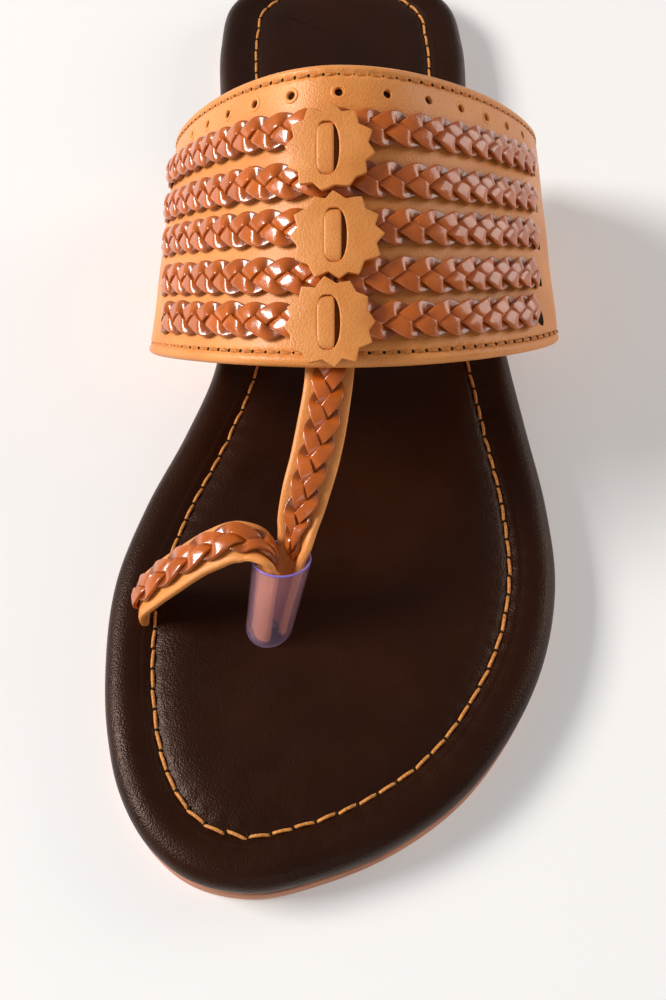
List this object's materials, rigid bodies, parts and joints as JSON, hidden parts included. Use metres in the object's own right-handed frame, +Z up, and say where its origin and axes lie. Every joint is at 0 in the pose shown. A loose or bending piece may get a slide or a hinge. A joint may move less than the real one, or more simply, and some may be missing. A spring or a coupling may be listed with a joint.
{
  "type": "kolhapuri sandal",
  "caption": "Flat leather kolhapuri sandal with a wide braided instep band, star ornaments, a toe strap and a toe loop held in a clear sleeve.",
  "frame": {"origin": "on the floor under the sole, halfway along its length and on the picture's middle line", "axes": "+Z up, -Y towards the toe, +X towards the outer (lateral) side of the foot"},
  "size_m": [0.0928, 0.25, 0.0723],
  "materials": {
    "outsole_tan": "matte tan sole edge",
    "footbed_leather": "dark brown, satin, fine grain",
    "tan_leather": "tan, satin, pebbled grain",
    "plait_leather": "orange brown, glossy",
    "clear_sleeve": "clear, violet tinted"
  },
  "bodies": {
    "root": {"outsole": "outsole_tan", "footbed": "footbed_leather", "instep_band": "tan_leather", "plait_row_1": "plait_leather", "plait_row_2": "plait_leather", "plait_row_3": "plait_leather", "plait_row_4": "plait_leather", "plait_row_5": "plait_leather", "star_1": "tan_leather", "star_2": "tan_leather", "star_3": "tan_leather", "star_tab_1": "tan_leather", "star_tab_2": "tan_leather", "star_tab_3": "tan_leather", "toe_strap": "tan_leather", "toe_strap_plait": "plait_leather", "toe_loop": "tan_leather", "toe_loop_plait": "plait_leather", "toe_sleeve": "clear_sleeve"}
  },
  "joints": []
}
